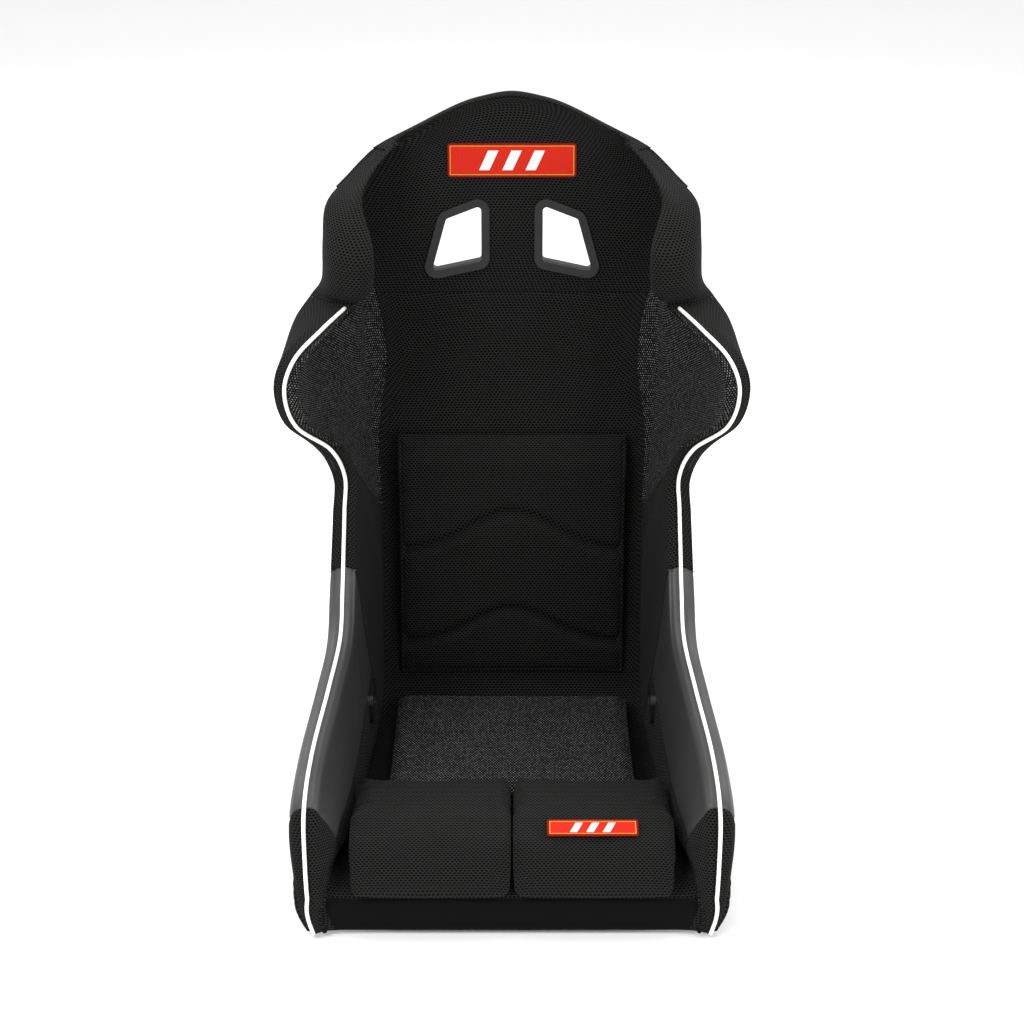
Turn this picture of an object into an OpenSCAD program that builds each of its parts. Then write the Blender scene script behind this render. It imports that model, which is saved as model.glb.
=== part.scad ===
// Motorsport bucket seat: a composite bucket with side mounts, glued foam,
// sewn covers, harness slots and four pads that lift out.
// X runs across the seat, the sitter faces -Y, Z is up and Z = 0 is the floor.

/* [Overall] */
// Height of the seat from the floor to the top of the head guard
seat_h = 900; // [760:5:1080]
// Depth of the seat from the front of the thigh bolsters to the back
seat_d = 640; // [540:5:770]
// Width of the seat across the shoulder bolsters
seat_w = 590; // [490:5:710]

/* [Bucket] */
// Thickness of the composite bucket
shell_t = 4; // [3:0.1:5]
// Foam between the bucket's outer face and the cover
outer_foam = 4; // [3:0.1:5]
// Foam over the bucket's upper edge
edge_foam = 2.3; // [1.8:0.1:2.8]

/* [Upholstery] */
// Thickness of the spacer fabric and vinyl covers
cover_t = 3; // [2.5:0.1:3.6]
// Diameter of the white piping cord
piping_d = 5; // [4:0.1:6]
// Depth of foam and cover on the bucket's floor and back
floor_pad = 11; // [9:0.5:14]

/* [Lift-out pads] */
// Thickness of the back pad
back_pad_t = 30; // [24:1:36]
// Thickness of the squab pad at its rear edge
squab_t = 52; // [42:1:62]
// Thickness of the thigh pads at the front
thigh_t = 78; // [64:1:94]
// Length of the thigh pads from front to rear
thigh_l = 205; // [170:5:246]
// Gap between a lift-out pad and what it rests against
pad_gap = 0.8; // [0.6:0.1:1.5]

/* [Harness openings] */
// Distance from the middle of the seat to a shoulder opening
slot_inset = 41; // [34:1:46]
// Width of a shoulder opening along its lower edge
slot_w = 67; // [52:1:76]
// Height of a shoulder opening along its inner edge
slot_h = 78; // [62:1:90]
// Width of the frames round the shoulder openings
frame_w = 11; // [8:0.5:14]
// Length of the lap belt openings
lap_l = 60; // [48:1:74]
// Height of the lap belt openings
lap_h = 36; // [30:1:44]
// Width of the crotch strap opening
crotch_w = 72; // [58:1:90]
// Length of the crotch strap opening from front to rear
crotch_l = 26; // [20:1:32]
// Wall of the sleeves that line the openings
sleeve_t = 3; // [2:0.1:4]

/* [Side mounts] */
// Distance between the front and rear mounting threads
mount_pitch = 290; // [250:1:350]
// Height of the mounting threads above the floor
mount_z = 58; // [52:1:62]
// Distance between the left and right mounting faces
mount_span = 478; // [474:1:560]
// Bore radius of the M8 threads
thread_r = 4; // [3:0.1:5]

/* [Hidden] */
// The sizes that the stations below are written for
nominal = [590, 640, 900];
k = [seat_w / nominal[0], seat_d / nominal[1], seat_h / nominal[2]];

// Stations along the bucket: forward lip, pan, hip, back, shoulders, head.
// Each is the line from the floor of the bucket to its rim:
// [floor y, floor z, rim y, rim z, rim x, corner x, corner reach, bow, crown drop, rim width, swell]
STATIONS = [
    [-294,   5, -313,   8, 246, 238, 42,  0,   0, 22,  0],
    [-295,  30, -318,  52, 258, 250, 45,  0,   0, 34,  0],
    [-286,  49, -317, 112, 263, 250, 45,  0,   0, 40,  8],
    [-252,  54, -297, 178, 264, 248, 46,  2,   0, 42, 18],
    [-172,  36, -215, 209, 258, 242, 40,  2,   0, 40, 20],
    [ -82,  14, -115, 243, 242, 234, 33,  4,   0, 37, 16],
    [  18,   2,  -32, 272, 231, 224, 55,  4,   0, 36, 12],
    [ 140,   2,   24, 315, 230, 214, 45,  5,   0, 36, 10],
    [ 212,  32,   52, 362, 228, 206, 42,  6,   0, 34,  8],
    [ 238, 105,   68, 410, 226, 202, 38,  4,   0, 33,  6],
    [ 250, 200,   75, 456, 225, 200, 36,  0,   0, 33,  4],
    [ 267, 320,   57, 502, 241, 200, 36,  2,   0, 33,  2],
    [ 283, 430,   22, 548, 281, 202, 38,  6,   0, 34,  0],
    [ 294, 520,    5, 600, 292, 204, 70, 12,   0, 34,  0],
    [ 300, 580,    9, 640, 278, 208, 70, 24,   0, 34,  0],
    [ 304, 625,   50, 664, 244, 214, 60, 38,   0, 34,  0],
    [ 306, 655,  112, 676, 212, 222, 55, 40,   0, 36,  0],
    [ 306, 690,   88, 702, 216, 230, 50, 16,   0, 56,  0],
    [ 306, 755,   84, 752, 214, 230, 60, 14,   0, 56,  0],
    [ 306, 830,  132, 796, 216, 226, 90, 10,  44, 42,  0],
    [ 304, 880,  205, 814, 194, 210,110,  4,  76, 34,  0],
    [ 300, 899,  262, 836, 160, 184,110,  0,  64, 30,  0]];
last = len(STATIONS) - 1;
// Shift that puts the origin in the middle of the seat's depth
origin_y = 4*k[1];

// Stations that the solids are built on
TS = [0, 0.5, 1, 1.5, 2, 2.5, 3, 3.5, 4, 5, 6, 7, 7.5, 8, 8.5, 9, 10, 11, 11.5, 12, 12.5, 13,
      13.5, 14, 14.5, 15, 15.5, 16, 16.5, 17, 17.5, 18, 18.5, 19, 19.5, 20, 20.5, 21];

// Offset of the outer cover from the middle of the bucket's wall
out_pad = cover_t + outer_foam + shell_t / 2;
// Directions round the padded rim, from its crest, and the steps below it
RIM = [12, 45, 90];
WALL = [1/3, 2/3, 1];
n_rim = len(RIM);
n_wall = len(WALL);
n_corner = 3;
n_floor = 2;
// Index of the middle of the floor along a half section
mid = n_rim + n_wall + n_corner + n_floor - 1;

function spline(a, b, c, d, t) =
    0.5 * (2*b + (c - a)*t + (2*a - 5*b + 4*c - d)*t*t + (3*b - a - 3*c + d)*t*t*t);
function row(i) = STATIONS[min(max(i, 0), last)];
function smooth(f) = f*f*(3 - 2*f);
function mix(a, b, f) = a + (b - a)*f;

// Size of the seat at station t
function station(t) =
    let (i = min(floor(t), last - 1), f = t - i,
         s = [for (c = [0:10]) spline(row(i-1)[c], row(i)[c], row(i+1)[c], row(i+2)[c], f)])
    [s[0]*k[1], s[1]*k[2], s[2]*k[1], s[3]*k[2], s[4]*k[0], s[5]*k[0], s[6], s[7], s[8]*k[2], s[9], s[10]];

// How far the crest of the bucket's own edge lies under the crest of the cover
function edge_depth(r) =
    r - sqrt(max(0, pow(r - cover_t, 2) - pow(r - out_pad + shell_t/2 + edge_foam, 2)));

// Depth below the crest of each rim index; a layer is the depth under the cover,
// or BUCKET for the faces of the composite bucket
BUCKET = -1000;
// Foam glued to the bucket stands this far off it
GLUED = -1001;
glue_gap = 0.06;
function rim_depth(r, layer, i) = layer <= BUCKET
    ? mix(edge_depth(r), r, i/(n_rim - 1))
    : r - (r - layer)*cos(RIM[i]);

// Half section at station t: its plane, then [x, height, normal x, normal height] by index
function section(t, layer) =
    let (s = station(t),
         up = [s[2] - s[0], s[3] + s[8] - s[1]], len_up = norm(up),
         edge = [s[4], len_up], corner = [s[5], 0],
         full = norm(edge - corner), reach = min(s[6], full/2),
         down = (corner - edge)/full, side = [down[1], -down[0]],
         wall = full - reach, r = min(s[9]/2, 0.92*wall),
         on_wall = function (d) edge + down*d + [s[7]*4*(d/wall)*(1 - d/wall), 0],
         top = on_wall(wall), foot = corner - [s[6], 0])
    [[s[0], s[1]], up/len_up, s[8], s[4], r, s[10],
     concat(
        [for (i = [0:n_rim-1]) concat(on_wall(rim_depth(r, layer, i)), side)],
        [for (f = WALL) concat(on_wall(mix(r, wall, f)), side)],
        [for (q = [1:n_corner]) let (f = q/n_corner,
            p = top*(1-f)*(1-f) + corner*2*f*(1-f) + foot*f*f,
            g = (corner - top)*(1-f) + (foot - corner)*f)
            concat(p, [g[1], -g[0]]/norm(g))],
        [for (q = [1:n_floor]) [foot[0]*(1 - q/n_floor), 0, 0, 1]])];

// Offset from the middle of the bucket's wall, on the sitter's side and on the back
function inside(c, layer, i) =
    layer <= BUCKET ? shell_t/2 + (layer == GLUED ? glue_gap : 0) :
    i < n_rim ? c[4] - out_pad + (c[4] - layer)*sin(RIM[i]) :
    let (f = min(1, (i - n_rim + 1)/(n_wall + n_corner)))
    mix(2*c[4] - out_pad, floor_pad, smooth(f)) + c[5]*sin(180*f) - layer;
function outside(c, layer, i) =
    layer <= BUCKET ? -shell_t/2 - (layer == GLUED ? glue_gap : 0) :
    i < n_rim ? c[4] - out_pad - (c[4] - layer)*sin(RIM[i]) :
    layer - out_pad;

function place(c, p, off) =
    let (x = p[0] + p[2]*off, v = p[1] + p[3]*off)
    [x, c[0][0] + c[1][0]*v + origin_y, c[0][1] + c[1][1]*v - c[2]*pow(min(1, abs(x)/c[3]), 1.8)];

// Columns 0 to mid run from the left crest to the middle inside the bucket, mid to 2*mid on to
// the right crest, and -1, -2, ... from the left crest down the outer face
function line(t, cols, layer, back=false) =
    let (c = section(t, layer))
    [for (j = cols) let (
        i = j < 0 ? -1 - j : j > mid ? 2*mid - j : j,
        p = c[6][i],
        off = j < 0 || back ? outside(c, layer, i) : inside(c, layer, i),
        q = place(c, p, off))
        [(j > mid ? 1 : -1)*q[0], q[1], q[2]]];

// Triangles of one face of a grid, split the same way on both sides of the middle
function sheet(cols, rows, base, turn) =
    let (n = len(cols))
    [for (r = [0:rows-2]) for (j = [0:n-2])
        let (a = base + r*n + j, b = a + 1, c = a + n + 1, d = a + n,
             f = cols[j] >= mid || cols[j] < 0 ? [[a, d, b], [b, d, c]] : [[a, c, b], [a, d, c]])
        for (g = f) turn ? [g[2], g[1], g[0]] : g];

// Closed solid between two grids of the same size
module between(upper, lower, cols) {
    rows = len(upper);
    n = len(cols);
    m = rows*n;
    rim = concat([for (j = [0:n-1]) j], [for (r = [1:rows-1]) r*n + n - 1],
                 [for (j = [n-2:-1:0]) (rows-1)*n + j], [for (r = [rows-2:-1:1]) r*n]);
    points = concat([for (r = upper) each r], [for (r = lower) each r]);
    skirt = [for (q = [0:len(rim)-1])
        let (a = rim[q], b = rim[(q + 1) % len(rim)])
        each a > b ? [[a, b, a + m], [b, b + m, a + m]] : [[a, b, b + m], [a, b + m, a + m]]];
    polyhedron(points, concat(sheet(cols, rows, 0, false), sheet(cols, rows, m, true), skirt), 10);
}

// Piece of upholstery over stations t0 to t1 and a run of columns, between two layers
module quilt(t0, t1, cols, over, under, back=false) {
    ts = [for (t = TS) if (t >= t0 && t <= t1) t];
    near = [for (t = ts) line(t, cols, back ? under : over, back)];
    far = [for (t = ts) line(t, cols, back ? over : under, back)];
    between(near, far, cols);
}

module both_sides() {
    children();
    mirror([1, 0, 0]) children();
}

// ---- Harness openings and mounts, cut through every layer they cross ----
frame_fit = 0.2;
frame_proud = 2.5;
flange_t = 5;
ring_t = 3;
// Front face of the cover and rear face of the bucket where the shoulder frames sit
head_y = 306*k[1] + origin_y;
head_front = head_y - floor_pad;
head_rear = head_y + shell_t/2;
slot_z = 672*k[2];
// Corners of the opening on the +X side, clockwise from the lower inner one
SLOT = [[slot_inset, slot_z], [slot_inset, slot_z + slot_h],
        [slot_inset + 0.7*slot_w, slot_z + 0.76*slot_h], [slot_inset + slot_w, slot_z - 0.19*slot_h]];
slot_corner = 5;

module slot_shape(grow) {
    offset(r = slot_corner + grow, $fn = 24) offset(delta = -slot_corner) polygon(SLOT);
}
module slot_prism(grow, y0, y1) {
    translate([0, y1, 0]) rotate([90, 0, 0]) linear_extrude(y1 - y0) slot_shape(grow);
}
module slot_cuts() {
    both_sides() {
        slot_prism(sleeve_t + frame_fit, head_front - 40, head_rear + 40);
        slot_prism(frame_w + frame_fit, head_front - 40, head_front + flange_t - frame_proud + frame_fit);
    }
}

lap_y = 96*k[1] + origin_y;
lap_z = 108*k[2];
lap_in = 188*k[0];
lap_out = 232*k[0];
module rounded(w, h, r) {
    offset(r = r, $fn = 24) square([w - 2*r, h - 2*r], center = true);
}
module lap_prism(grow, x0, x1) {
    translate([x0, lap_y, lap_z]) rotate([90, 0, 90])
        linear_extrude(x1 - x0) rounded(lap_l + 2*grow, lap_h + 2*grow, 9 + grow);
}
module lap_cuts() {
    both_sides() lap_prism(sleeve_t + frame_fit, lap_in - 60, lap_out + 40);
}

crotch_y = -150*k[1] + origin_y;
crotch_top = 27*k[2] + floor_pad - 2;
crotch_low = 18*k[2];
module crotch_prism(grow, z0, z1) {
    translate([0, crotch_y, z0]) linear_extrude(z1 - z0)
        rounded(crotch_w + 2*grow, crotch_l + 2*grow, 8 + grow);
}
module crotch_cut() {
    crotch_prism(sleeve_t + frame_fit, crotch_low - 60, crotch_top + 60);
}

boss_r = 15;
BOSS_L = [18, 28];
insert_r = 9;
insert_l = 15;
MOUNT_Y = [-190*k[1] + origin_y, -190*k[1] + origin_y + mount_pitch];
// Cylinder along +X that ends on the mounting face
module at_mounts(r, lengths, past = 0) {
    for (i = [0, 1])
        translate([mount_span/2 - lengths[i], MOUNT_Y[i], mount_z]) rotate([0, 90, 0])
            cylinder(r = r, h = lengths[i] + past, $fn = 48);
}
function longer(lengths, extra) = [for (v = lengths) v + extra];
INSERT_L = [insert_l, insert_l];
module boss_cuts() {
    both_sides() at_mounts(boss_r + frame_fit, longer(BOSS_L, frame_fit), 20);
}

// ---- The bucket ----
ALL = [for (j = [0:2*mid]) j];
// The bucket stops short of the padded top edge
bucket_end = 20.5;
module bucket() {
    ts = [for (t = TS) if (t <= bucket_end) t];
    color("#17181a") difference() {
        union() {
            between([for (t = ts) line(t, ALL, BUCKET)], [for (t = ts) line(t, ALL, BUCKET, true)], ALL);
            both_sides() at_mounts(boss_r, BOSS_L);
        }
        slot_cuts();
        lap_cuts();
        crotch_cut();
        both_sides() at_mounts(insert_r, INSERT_L, 1);
        both_sides() at_mounts(thread_r + 1, longer(BOSS_L, 1), 1);
    }
}
module mount_inserts(side) {
    color("#b9bcc0") mirror([side, 0, 0]) difference() {
        at_mounts(insert_r, INSERT_L);
        at_mounts(thread_r, longer(INSERT_L, 1), 1);
    }
}

// ---- Foam glued inside the bucket ----
SIDE_COLS = [for (j = [-4:7]) j];
CENTRE_COLS = [for (j = [7:2*mid-7]) j];
module foam(t0, t1, cols) {
    color("#3a3b3d") quilt(t0, t1, cols, cover_t, GLUED);
}
module on_side(side) {
    // The left of the sitter is +X
    mirror([side, 0, 0]) mirror([1, 0, 0]) children();
}
module thigh_foam(side) {
    difference() { on_side(side) foam(0, 6, SIDE_COLS); boss_cuts(); lap_cuts(); }
}
module torso_foam(side) {
    difference() { on_side(side) foam(6, 11, SIDE_COLS); boss_cuts(); lap_cuts(); }
}
module shoulder_foam(side) { on_side(side) foam(11, 16, SIDE_COLS); }
module wing_foam(side) { on_side(side) foam(16, bucket_end, SIDE_COLS); }
module pan_foam() {
    difference() { foam(0, 6, CENTRE_COLS); boss_cuts(); crotch_cut(); lap_cuts(); }
}
module back_foam() { foam(6, 15, CENTRE_COLS); }
module head_foam() {
    difference() { foam(15, bucket_end, CENTRE_COLS); slot_cuts(); }
}
// Solid foam that carries the bucket's shape up to the padded top edge
crown_gap = 0.15;
crown_start = 0.1;
function crown_rows(back) =
    let (at = function (t) line(t, CENTRE_COLS, cover_t + crown_gap, back))
    [mix(at(bucket_end), at(last), crown_start), at(last)];
module crown_foam() {
    color("#3a3b3d") between(crown_rows(false), crown_rows(true), CENTRE_COLS);
}

// ---- Covers ----
mesh = "#26272a";
vinyl = "#3b3d40";
grip = "#2f3033";
OUTER = [for (j = [-4:-1]) j];
function cols(a, b) = [for (j = [a:b]) j];
module cover(t0, t1, run, paint) { color(paint) quilt(t0, t1, run, 0, cover_t); }
module lower_outer_cover(side) { on_side(side) cover(0, 3, OUTER, mesh); }
module vinyl_outer(side) { on_side(side) cover(3, 7.5, OUTER, vinyl); }
module shoulder_gusset(side) { on_side(side) cover(7.5, 16, OUTER, mesh); }
module lower_inner_cover(side) { on_side(side) cover(0, 3, cols(0, 7), mesh); }
module vinyl_inner(side) { on_side(side) cover(3, 7.5, cols(0, 4), vinyl); }
module hip_cover(side) {
    difference() { on_side(side) cover(3, 7.5, cols(4, 7), mesh); lap_cuts(); }
}
module waist_cover(side) {
    difference() { on_side(side) cover(7.5, 11, cols(0, 7), mesh); lap_cuts(); }
}
module shoulder_grip(side) { on_side(side) cover(11, 16, cols(0, 7), grip); }
module wing_band(side) { on_side(side) cover(16, last, cols(-4, 2), mesh); }
module wing_lining(side) { on_side(side) cover(16, last, cols(2, 7), mesh); }
module lip_cover() { cover(0, 1.5, CENTRE_COLS, vinyl); }
module pan_cover() {
    difference() { cover(1.5, 6, CENTRE_COLS, mesh); crotch_cut(); lap_cuts(); }
}
module back_cover() { cover(6, 15, CENTRE_COLS, mesh); }
module head_cover() {
    difference() { cover(15, last, CENTRE_COLS, mesh); slot_cuts(); }
}
// Cover and foam turned over the top edge and down the rear of the head guard
REAR_COLS = cols(3, 2*mid - 3);
module crown_rear_foam() {
    color("#3a3b3d") quilt(19.5, bucket_end, REAR_COLS, cover_t, GLUED, true);
}
module crown_rear_cover() { color(mesh) quilt(19.5, last, REAR_COLS, 0, cover_t, true); }

// ---- Piping along the crest of the rim ----
piping_end = 15.75;
piping_lift = 0.7;
piping_sides = 6;
piping_steps = [for (q = TS) if (q <= piping_end) q];
// Middle of the foam's crest at station t, and the same point lifted off along the surface normal
function crest_foot(t) = let (q = line(t, [-1, 0], cover_t)) (q[0] + q[1])/2;
function crest(t) =
    let (q = line(t, [-1, 0], cover_t),
         ahead = crest_foot(min(t + 0.1, last)) - crest_foot(max(t - 0.1, 0)),
         n = cross(q[1] - q[0], ahead))
    (q[0] + q[1])/2 + n/norm(n)*(piping_d/2 + piping_lift);
module piping(side) {
    path = [for (t = piping_steps) crest(t)];
    n = len(path);
    rings = [for (q = [0:n-1])
        let (d = path[min(q + 1, n - 1)] - path[max(q - 1, 0)], z = d/norm(d),
             x = cross(z, [1, 0, 0]), u = x/norm(x), v = cross(z, u))
        [for (a = [0:piping_sides-1]) path[q] + piping_d/2*(u*cos(a*360/piping_sides) + v*sin(a*360/piping_sides))]];
    faces = [for (q = [0:n-2]) for (a = [0:piping_sides-1])
        let (b = (a + 1) % piping_sides, m = q*piping_sides)
        each [[m + a, m + b + piping_sides, m + b], [m + a, m + a + piping_sides, m + b + piping_sides]]];
    color("white") on_side(side)
        polyhedron([for (r = rings) each r],
            concat(faces, [[for (a = [0:piping_sides-1]) a]],
                   [[for (a = [piping_sides-1:-1:0]) (n-1)*piping_sides + a]]), 10);
}

// ---- Frames of the belt openings ----
plastic = "#2a2b2d";
module slot_frame(side) {
    color(plastic) mirror([side, 0, 0]) difference() {
        union() {
            slot_prism(frame_w, head_front - frame_proud, head_front + flange_t - frame_proud);
            slot_prism(sleeve_t, head_front, head_rear + 0.5);
        }
        slot_prism(0, head_front - 20, head_rear + 20);
    }
}
ring_gap = 0.6;
module slot_ring(side) {
    color(plastic) mirror([side, 0, 0]) difference() {
        slot_prism(frame_w, head_rear + ring_gap, head_rear + ring_gap + ring_t);
        slot_prism(0, head_front - 20, head_rear + 20);
    }
}
module lap_frame(side) {
    color(plastic) mirror([side, 0, 0]) difference() {
        lap_prism(sleeve_t, lap_in, lap_out);
        lap_prism(0, lap_in - 1, lap_out + 1);
    }
}
module crotch_frame() {
    color(plastic) difference() {
        crotch_prism(sleeve_t, crotch_low, crotch_top);
        crotch_prism(0, crotch_low - 1, crotch_top + 1);
    }
}

// ---- Lift-out pads ----
// Point of the cover in the middle plane at station t, lifted off it by some height
function on_cover(t, lift) = let (q = line(t, [mid], -lift)[0]) [q[1], q[2]];
function at_yz(p) = [p[0]*k[1] + origin_y, p[1]*k[2]];
module slab_of(outline, x0, x1) {
    translate([x0, 0, 0]) rotate([90, 0, 90]) linear_extrude(x1 - x0) polygon(outline);
}

back_pad_w = 326*k[0];
back_pad_from = 8.5;
back_pad_to = 12;
module back_pad() {
    ts = [for (t = TS) if (t >= back_pad_from && t <= back_pad_to) t];
    soft = [for (t = ts) t == back_pad_from ? 0.35 : t == 9 ? 0.8 : t == back_pad_to ? 0.55 : 1];
    color(mesh) slab_of(concat(
        [for (t = ts) on_cover(t, pad_gap)],
        [for (q = [len(ts)-1:-1:0]) on_cover(ts[q], pad_gap + back_pad_t*soft[q])]),
        -back_pad_w/2, back_pad_w/2);
}

// The thigh pads reach from the front of the bolsters back to the squab pad
thigh_front = -319;
thigh_rear = thigh_front + thigh_l;
pan_cover_z = 54 + floor_pad;
crest_z = pan_cover_z + thigh_t;
THIGH_TOP = [at_yz([thigh_front + 3, 56]), at_yz([thigh_front, 74]), at_yz([thigh_front + 3, 112]),
             at_yz([thigh_front + 12, 127]), at_yz([thigh_front + 24, crest_z - 8]),
             at_yz([thigh_front + 64, crest_z]), at_yz([thigh_front + 100, crest_z - 6]),
             at_yz([thigh_rear, crest_z - 27])];
function pan_height(y) = lookup(y, [for (q = TS) if (q >= 2.5 && q <= 6) on_cover(q, pad_gap)]);
module thigh_pad(side) {
    under = [for (q = [len(TS)-1:-1:0]) if (TS[q] >= 1.5 && TS[q] < 6)
             let (p = on_cover(TS[q], pad_gap)) if (p[0] < THIGH_TOP[7][0]) p];
    heel = [THIGH_TOP[7][0], pan_height(THIGH_TOP[7][0])];
    color(mesh) mirror([side, 0, 0])
        slab_of(concat(THIGH_TOP, [heel], under), pad_gap, 200*k[0]);
}

squab_w = 330*k[0];
squab_front = THIGH_TOP[7][0] + 2*pad_gap;
squab_top = 2*k[2] + floor_pad + squab_t;
squab_rise = 30*k[2];
module squab_pad() {
    under = [for (q = TS) if (q >= 4 && q <= 8.5) let (p = on_cover(q, pad_gap))
             if (p[0] > squab_front && p[1] < squab_top - 14) p];
    toe = [squab_front, pan_height(squab_front)];
    rear = under[len(under)-1];
    color(grip) slab_of(concat([toe], under,
        [[rear[0], squab_top - 8], [rear[0] - 9, squab_top]],
        [[squab_front + 8, squab_top + squab_rise], [squab_front, squab_top + squab_rise - 6]]),
        -squab_w/2, squab_w/2);
}
// Fasteners of the back pad, stuck to the back cover
strip_t = 0.5;
module hook_strips() {
    color("#111111") for (q = [9.5, 11])
        let (ts = q == 11 ? [11, 11.5] : [9, 10])
        slab_of(concat([for (t = ts) on_cover(t, 0)], [on_cover(ts[1], strip_t), on_cover(ts[0], strip_t)]),
                -squab_w/5, squab_w/5);
}

// ---- Sewn badges without lettering ----
badge_t = 1.5;
head_badge = [170, 46];
module head_patch() {
    color("#c8281e") translate([0, head_front - 0.4, 812*k[2]]) rotate([90, 0, 0])
        linear_extrude(badge_t) rounded(head_badge[0], head_badge[1], 4);
}
thigh_badge = [112, 28];
module thigh_patch() {
    a = THIGH_TOP[4];
    b = THIGH_TOP[5];
    u = (b - a)/norm(b - a);
    m = a + u*0.42*norm(b - a);
    color("#c8281e") translate([99*k[0], m[0], m[1]]) rotate([atan2(u[1], u[0]), 0, 0])
        linear_extrude(badge_t) rounded(thigh_badge[0], thigh_badge[1], 3);
}

LEFT = 0;
RIGHT = 1;
bucket();
mount_inserts(LEFT);  // mount_inserts_left
mount_inserts(RIGHT);  // mount_inserts_right
thigh_foam(LEFT);  // thigh_foam_left
thigh_foam(RIGHT);  // thigh_foam_right
torso_foam(LEFT);  // torso_foam_left
torso_foam(RIGHT);  // torso_foam_right
shoulder_foam(LEFT);  // shoulder_foam_left
shoulder_foam(RIGHT);  // shoulder_foam_right
wing_foam(LEFT);  // wing_foam_left
wing_foam(RIGHT);  // wing_foam_right
pan_foam();
back_foam();
head_foam();
crown_foam();
crown_rear_foam();
lower_outer_cover(LEFT);  // lower_outer_cover_left
lower_outer_cover(RIGHT);  // lower_outer_cover_right
vinyl_outer(LEFT);  // vinyl_outer_left
vinyl_outer(RIGHT);  // vinyl_outer_right
shoulder_gusset(LEFT);  // shoulder_gusset_left
shoulder_gusset(RIGHT);  // shoulder_gusset_right
lower_inner_cover(LEFT);  // lower_inner_cover_left
lower_inner_cover(RIGHT);  // lower_inner_cover_right
vinyl_inner(LEFT);  // vinyl_inner_left
vinyl_inner(RIGHT);  // vinyl_inner_right
hip_cover(LEFT);  // hip_cover_left
hip_cover(RIGHT);  // hip_cover_right
waist_cover(LEFT);  // waist_cover_left
waist_cover(RIGHT);  // waist_cover_right
shoulder_grip(LEFT);  // shoulder_grip_left
shoulder_grip(RIGHT);  // shoulder_grip_right
wing_band(LEFT);  // wing_band_left
wing_band(RIGHT);  // wing_band_right
wing_lining(LEFT);  // wing_lining_left
wing_lining(RIGHT);  // wing_lining_right
lip_cover();
pan_cover();
back_cover();
head_cover();
crown_rear_cover();
piping(LEFT);  // piping_left
piping(RIGHT);  // piping_right
slot_frame(LEFT);  // slot_frame_left
slot_frame(RIGHT);  // slot_frame_right
slot_ring(LEFT);  // slot_ring_left
slot_ring(RIGHT);  // slot_ring_right
lap_frame(LEFT);  // lap_frame_left
lap_frame(RIGHT);  // lap_frame_right
crotch_frame();
hook_strips();
back_pad();
squab_pad();
thigh_pad(LEFT);  // thigh_pad_left
thigh_pad(RIGHT);  // thigh_pad_right
head_patch();
thigh_patch();
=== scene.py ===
# Racing bucket with sewn covers, piping, belt openings and four lift-out pads.
# Everything is in metres in the shared frame: X across, the sitter faces -Y, Z up.
import math

import bmesh
import bpy
import numpy as np
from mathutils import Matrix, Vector
from mathutils.bvhtree import BVHTree


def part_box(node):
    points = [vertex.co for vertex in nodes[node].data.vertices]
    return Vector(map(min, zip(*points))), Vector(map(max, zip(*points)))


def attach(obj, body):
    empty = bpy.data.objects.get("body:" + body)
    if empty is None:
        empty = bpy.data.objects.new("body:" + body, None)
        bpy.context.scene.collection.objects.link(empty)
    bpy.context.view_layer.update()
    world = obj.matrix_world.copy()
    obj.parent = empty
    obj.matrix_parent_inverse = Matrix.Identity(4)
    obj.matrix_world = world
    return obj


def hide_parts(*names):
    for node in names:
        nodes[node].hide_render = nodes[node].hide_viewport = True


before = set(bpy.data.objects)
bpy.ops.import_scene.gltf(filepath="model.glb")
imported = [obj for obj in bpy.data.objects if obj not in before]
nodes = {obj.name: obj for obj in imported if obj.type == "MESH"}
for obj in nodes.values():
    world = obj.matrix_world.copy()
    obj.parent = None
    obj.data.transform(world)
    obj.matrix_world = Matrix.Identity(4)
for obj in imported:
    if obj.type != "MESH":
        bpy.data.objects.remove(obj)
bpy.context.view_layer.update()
ROOT = "bucket_body"
SIDES = {"left": 1.0, "right": -1.0}
MM = 0.001
SHEET_T = 0.0026      # thickness of a sewn cover
WELD = 1e-5           # points nearer than this are one point


def clear_selection():
    for o in bpy.context.selected_objects:
        o.select_set(False)


# ---------------------------------------------------------------- materials
def new_material(name, colour, rough, **sockets):
    m = bpy.data.materials.new(name)
    m.use_nodes = True
    b = m.node_tree.nodes["Principled BSDF"]
    b.inputs["Base Color"].default_value = (*colour, 1)
    b.inputs["Roughness"].default_value = rough
    for key, value in sockets.items():
        b.inputs[key.replace("_", " ")].default_value = value
    return m, m.node_tree, b


def add(tree, kind, **props):
    n = tree.nodes.new(kind)
    for key, value in props.items():
        setattr(n, key, value)
    return n


def math_node(tree, op, a, b=0.0, c=0.0):
    n = add(tree, "ShaderNodeMath", operation=op)
    for i, v in enumerate((a, b, c)):
        if isinstance(v, (int, float)):
            n.inputs[i].default_value = v
        else:
            tree.links.new(v, n.inputs[i])
    return n.outputs[0]


def surface_uv(tree):
    uv = add(tree, "ShaderNodeUVMap", uv_map="cloth")
    split = add(tree, "ShaderNodeSeparateXYZ")
    tree.links.new(uv.outputs[0], split.inputs[0])
    return split.outputs[0], split.outputs[1]


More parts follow.
